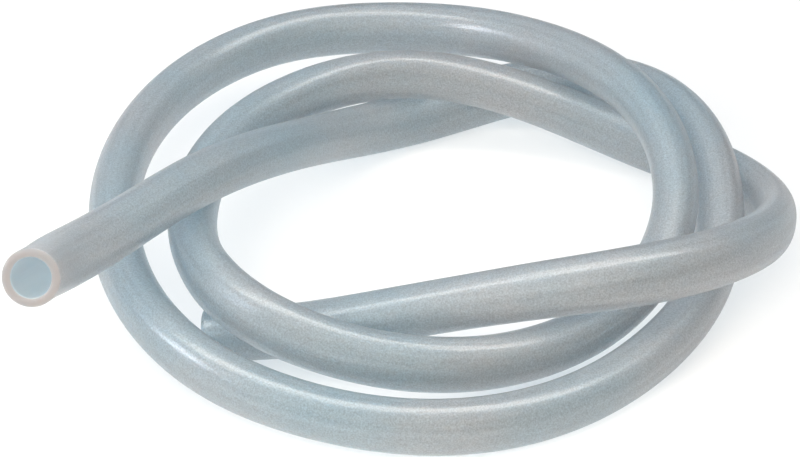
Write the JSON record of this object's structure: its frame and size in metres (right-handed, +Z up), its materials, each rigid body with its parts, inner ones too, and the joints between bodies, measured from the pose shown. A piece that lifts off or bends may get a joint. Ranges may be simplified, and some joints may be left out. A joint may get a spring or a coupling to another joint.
{
  "type": "silicone tubing coil",
  "caption": "Length of soft translucent silicone laboratory tubing, cut square at both ends and lying in a loose coil with one end raised.",
  "frame": {"origin": "on the bench, under the middle of the coil's bounding box", "axes": "+Z up from the bench; the free end points forward, towards -Y, and the tail end points left, towards -X"},
  "size_m": [0.145, 0.1486, 0.0495],
  "materials": {
    "silicone": "satin"
  },
  "bodies": {
    "root": {"tubing": "silicone"}
  },
  "joints": []
}
